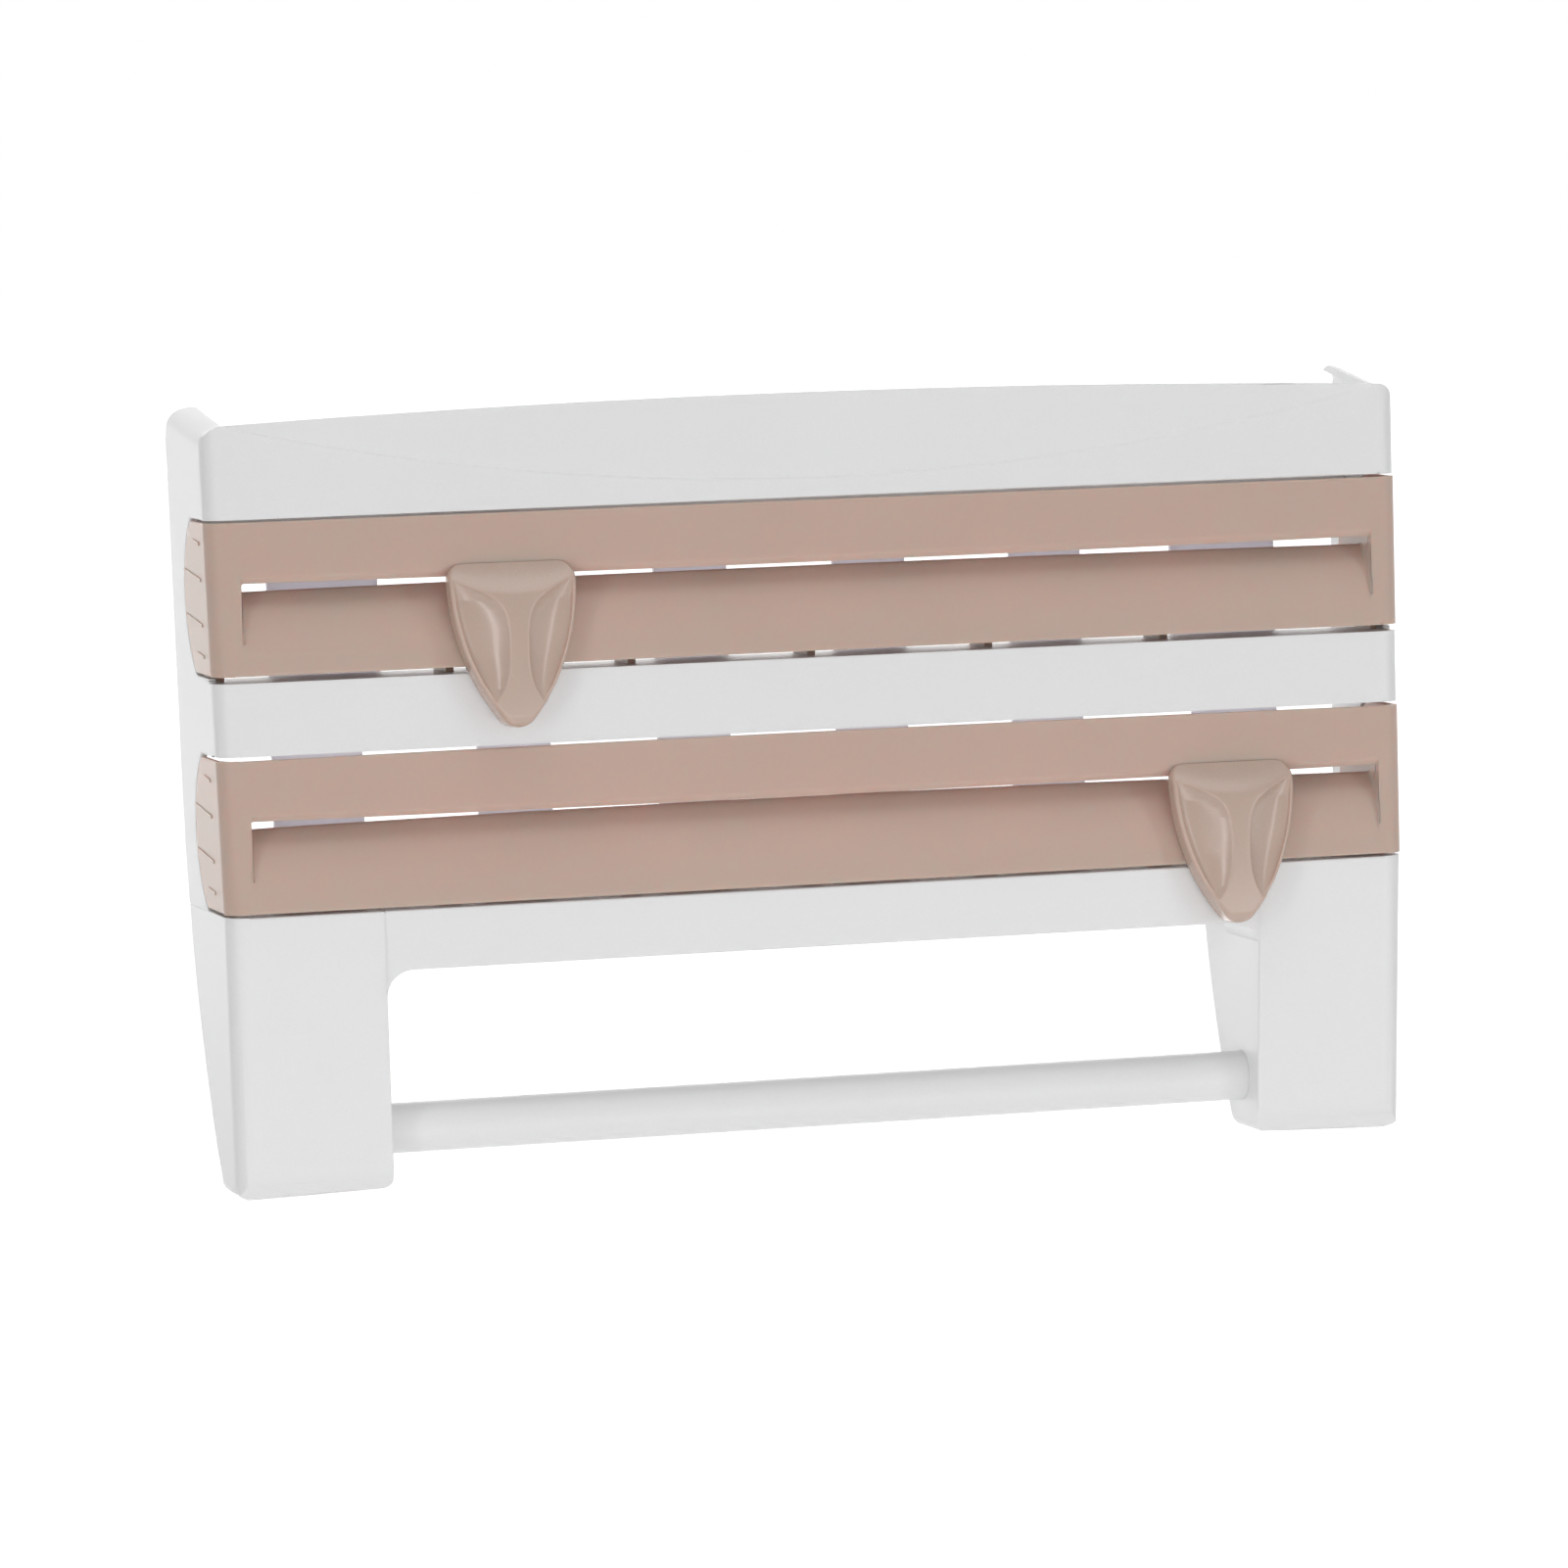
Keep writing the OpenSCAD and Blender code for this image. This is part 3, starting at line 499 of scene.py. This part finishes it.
def scoop(x, z, half):
    """Depth of the hollows: deep x share^0.9 x (1 - share)^0.6, over the peak of that curve.

    share is 0 at the edge of the ridge and 1 at the rim, and deep is less where there is little room.
    """
    inner = np.interp(z, RIDGE_LEVEL, RIDGE_HALF)
    room = np.clip(half - RIM_W - inner, 0, None)
    share = np.clip((np.abs(x) - inner) / np.maximum(room, 1e-6), 0, 1)
    deep = np.minimum(SCOOP_D, SCOOP_SHARE * room)
    return deep * share ** SCOOP_IN * (1 - share) ** SCOOP_OUT / SCOOP_PEAK


print("handle depth:", round(float(swell(0.0, -DOME_DROP)), 1), "mm")

# %% Handle surface
SIDE_TAPER = 0.02
RIM_R, TIP_RIM_R, RIM_SHARE = 1.3, 3.0, 0.45
FIRST_ROW = 0.004


def handle_grid(rows=170, across=120, round_steps=8, side_steps=8):
    """Points of a handle, rows by columns, with its top at the origin and its back on the plane y = 0.

    At each level the front is swell less scoop, the rim a quarter circle and the side a straight line.
    """
    share = 0.5 - 0.5 * np.cos(np.pi * np.linspace(FIRST_ROW, 1 - FIRST_ROW, rows))
    z = (-HANDLE_H * share)[:, None]
    outer = half_width(z)
    high = swell(outer, z)
    front = outer - SIDE_TAPER * high
    rim = np.interp(z, [-HANDLE_H, TIP_Z + TIP_R], [TIP_RIM_R, RIM_R])
    edge = np.minimum(rim, RIM_SHARE * np.minimum(front, high))
    way = np.sin(np.linspace(-1, 1, across) * np.pi / 2)[None, :]
    x_front = way * (front - edge)
    y_front = swell(x_front, z) - scoop(x_front, z, front)
    y_edge = y_front[:, -1:]
    angle = np.linspace(np.pi / 2, 0, round_steps)[None, 1:]
    x_round = front - edge + edge * np.cos(angle)
    y_round = y_edge - edge + edge * np.sin(angle)
    drop = np.linspace(0, 1, side_steps)[None, 1:]
    x_side = front + (outer - front) * drop
    y_side = (y_edge - edge) * (1 - drop)
    x = np.hstack([-x_side[:, ::-1], -x_round[:, ::-1], x_front, x_round, x_side])
    y = np.hstack([y_side[:, ::-1], y_round[:, ::-1], y_front, y_round, y_side])
    return np.stack([x, -y, np.broadcast_to(z, x.shape)], axis=-1)


print("handle points:", handle_grid().shape)

# %% Neck and faces
NECK_HALF_W, NECK_HALF_H, NECK_Z = 8.0, 0.9, -3.5
NECK_BACK, NECK_FRONT = 3.2, -2.5
NECK_STEPS, NECK_SQUARE = 40, 0.3


def neck_rings():
    """The short neck that passes through the slot, as two rings.

    x and z are half sizes x a cosine and a sine to the power 0.3, which makes the ring nearly a rectangle.
    """
    turn = np.linspace(0, 2 * np.pi, NECK_STEPS, endpoint=False)
    x = NECK_HALF_W * np.sign(np.cos(turn)) * np.abs(np.cos(turn)) ** NECK_SQUARE
    z = NECK_Z + NECK_HALF_H * np.sign(np.sin(turn)) * np.abs(np.sin(turn)) ** NECK_SQUARE
    return np.stack([np.stack([x, np.full_like(x, y), z], axis=-1) for y in (NECK_BACK, NECK_FRONT)])


def ring_faces(rows, cols, start=0):
    """Faces of rows of closed rings, with a cap at each end."""
    at = start + np.arange(rows * cols).reshape(rows, cols)
    on = np.roll(at, -1, axis=1)
    walls = np.stack([at[:-1], on[:-1], on[1:], at[1:]], axis=-1).reshape(-1, 4)
    return walls.tolist() + [at[0, ::-1].tolist(), at[-1].tolist()]


print("neck points:", neck_rings().shape)

# %% Handles
COVER_PROUD = 0.6
HANDLE_CLEAR, HANDLE_UP = 0.5, 1.7
PLACES = {"cutter_upper": (-100.0, "cover_upper"), "cutter_lower": (133.3, "cover_lower")}


def handle_piece(name):
    """One handle with its neck, placed in the slot of its cover."""
    x, cover = PLACES[name]
    seat = np.array([x, -FRONT_D - COVER_PROUD, LIP_Z[cover]])
    body = handle_grid() + seat + (0, -HANDLE_CLEAR, HANDLE_UP)
    neck = neck_rings() + seat
    points = leaned(np.vstack([body.reshape(-1, 3), neck.reshape(-1, 3)]))
    rows, cols = body.shape[:2]
    faces = ring_faces(rows, cols) + ring_faces(*neck.shape[:2], start=rows * cols)
    data = bpy.data.meshes.new("handle_" + name)
    data.from_pydata(points.tolist(), [], faces)
    data.polygons.foreach_set("use_smooth", np.ones(len(data.polygons), bool))
    data.materials.append(cutter_beige)
    piece = bpy.data.objects.new("handle_" + name, data)
    bpy.context.scene.collection.objects.link(piece)
    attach(piece, body_of[name])
    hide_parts(name)
    print(piece.name, "faces:", len(data.polygons))


for name in PLACES:
    handle_piece(name)

# %% [markdown]
# ## Floor and light
# The rack hangs on a wall in use, so the floor lies well below it. The floor is matt and throws light back
# up. For rays that see it directly it adds a full white of its own, because the lamps don't reach the far
# floor behind the rack. That also hides the rack's shadow on it. The world is white where it is seen, and
# gives a weaker, even light to the rack. Five lamps do the rest.

# %% Floor
FLOOR_BELOW, FLOOR_HALF = 0.35, 30.0
FLOOR_COLOUR = (0.85, 0.85, 0.85, 1)
low, high = cad_box
floor_z = low[2] - FLOOR_BELOW


def seen_directly(tree):
    """1 for rays that come from the camera, a mirror or glass, and 0 for rays that carry light."""
    path = tree.nodes.new("ShaderNodeLightPath")
    first = tree.nodes.new("ShaderNodeMath")
    first.operation = "MAXIMUM"
    second = tree.nodes.new("ShaderNodeMath")
    second.operation = "MAXIMUM"
    tree.links.new(path.outputs["Is Camera Ray"], first.inputs[0])
    tree.links.new(path.outputs["Is Glossy Ray"], first.inputs[1])
    tree.links.new(first.outputs["Value"], second.inputs[0])
    tree.links.new(path.outputs["Is Transmission Ray"], second.inputs[1])
    return second.outputs["Value"]


def pale_floor():
    """A white floor: diffuse for all rays, with its own white added for rays that see it directly."""
    material = bpy.data.materials.new("pale_floor")
    material.use_nodes = True
    tree = material.node_tree
    tree.nodes.clear()
    out = tree.nodes.new("ShaderNodeOutputMaterial")
    matt = tree.nodes.new("ShaderNodeBsdfDiffuse")
    matt.inputs["Color"].default_value = FLOOR_COLOUR
    glow = tree.nodes.new("ShaderNodeEmission")
    both = tree.nodes.new("ShaderNodeAddShader")
    tree.links.new(seen_directly(tree), glow.inputs["Strength"])
    tree.links.new(matt.outputs["BSDF"], both.inputs[0])
    tree.links.new(glow.outputs["Emission"], both.inputs[1])
    tree.links.new(both.outputs["Shader"], out.inputs["Surface"])
    return material


floor_mesh = bpy.data.meshes.new("floor")
corners = np.array([[-1, -1], [1, -1], [1, 1], [-1, 1]]) * FLOOR_HALF
floor_mesh.from_pydata([(x, y, floor_z) for x, y in corners], [], [(0, 1, 2, 3)])
floor_mesh.materials.append(pale_floor())
floor = bpy.data.objects.new("floor", floor_mesh)
bpy.context.scene.collection.objects.link(floor)
print("floor at", round(floor_z, 3))

# %% World
WORLD_LIGHT, WORLD_SEEN = 0.32, 1.0
world = bpy.data.worlds.new("studio")
bpy.context.scene.world = world
world.use_nodes = True
sky = world.node_tree
backdrop = sky.nodes["Background"]
level = sky.nodes.new("ShaderNodeMapRange")
level.inputs["To Min"].default_value = WORLD_LIGHT
level.inputs["To Max"].default_value = WORLD_SEEN
sky.links.new(seen_directly(sky), level.inputs["Value"])
sky.links.new(level.outputs["Result"], backdrop.inputs["Strength"])
backdrop.inputs["Color"].default_value = (1, 1, 1, 1)
print("world light:", WORLD_LIGHT)

# %% Lamps
LAMPS = {
    "sky_box": ((0.0, -0.3, 1.6), 1.8, 1.6, 11.0),
    "low_box": ((0.0, -1.0, -0.5), 1.8, 0.3, 4.0),
    "back_box": ((0.0, 1.4, 0.2), 1.6, 1.2, 11.0),
    "left_box": ((-1.3, -1.1, -0.1), 0.2, 1.0, 4.0),
    "right_box": ((1.25, -1.25, 0.0), 0.2, 1.0, 3.0),
}
NEARLY_UP = (0, 0.01, 1)
MID_DEPTH = -0.03
centre = np.array([0.0, MID_DEPTH, (low[2] + high[2]) / 2])


def placed(right, up, back, place):
    """The matrix of a lamp or camera from its three directions and its place."""
    matrix = np.eye(4)
    matrix[:3] = np.column_stack([right, up, back, place])
    return Matrix(matrix)


def soft_box(name, place, width, height, watts):
    """A rectangular lamp that faces the middle of the rack and isn't seen by the camera."""
    light = bpy.data.lights.new(name, "AREA")
    light.shape = "RECTANGLE"
    light.size = width
    light.size_y = height
    light.energy = watts
    lamp = bpy.data.objects.new(name, light)
    bpy.context.scene.collection.objects.link(lamp)
    away = np.array(place) - centre
    away /= np.linalg.norm(away)
    side = np.cross(NEARLY_UP, away)
    side /= np.linalg.norm(side)
    lamp.matrix_world = placed(side, np.cross(away, side), away, place)
    lamp.visible_camera = False


for name, (place, width, height, watts) in LAMPS.items():
    soft_box(name, place, width, height, watts)
print("lamps:", len(LAMPS))

# %% [markdown]
# ## Camera
# The photograph was taken from the left with a long lens, turned a little to the side. The lens, place and
# three turns were solved once from the straight edges of the rack and are written here as real sizes and
# angles.

# %% Camera
SENSOR_MM, FOCAL_SHARE = 36.0, 4.9976
YAW, PITCH, ROLL = 0.283076, 0.0853165, 0.0263044
EYE = np.array([-0.696596, -2.407385, 0.111124])
forward = np.array([np.sin(YAW) * np.cos(PITCH), np.cos(YAW) * np.cos(PITCH), -np.sin(PITCH)])
level_right = np.array([np.cos(YAW), -np.sin(YAW), 0.0])
level_down = np.cross(forward, level_right)
right = level_right * np.cos(ROLL) + level_down * np.sin(ROLL)
down = -level_right * np.sin(ROLL) + level_down * np.cos(ROLL)
lens = bpy.data.cameras.new("camera")
lens.sensor_width = SENSOR_MM
lens.lens = FOCAL_SHARE * SENSOR_MM
camera = bpy.data.objects.new("camera", lens)
bpy.context.scene.collection.objects.link(camera)
camera.matrix_world = placed(right, -down, -forward, EYE)
bpy.context.scene.camera = camera
bpy.context.scene.view_settings.view_transform = "Standard"
print("lens", round(lens.lens, 1), "mm")
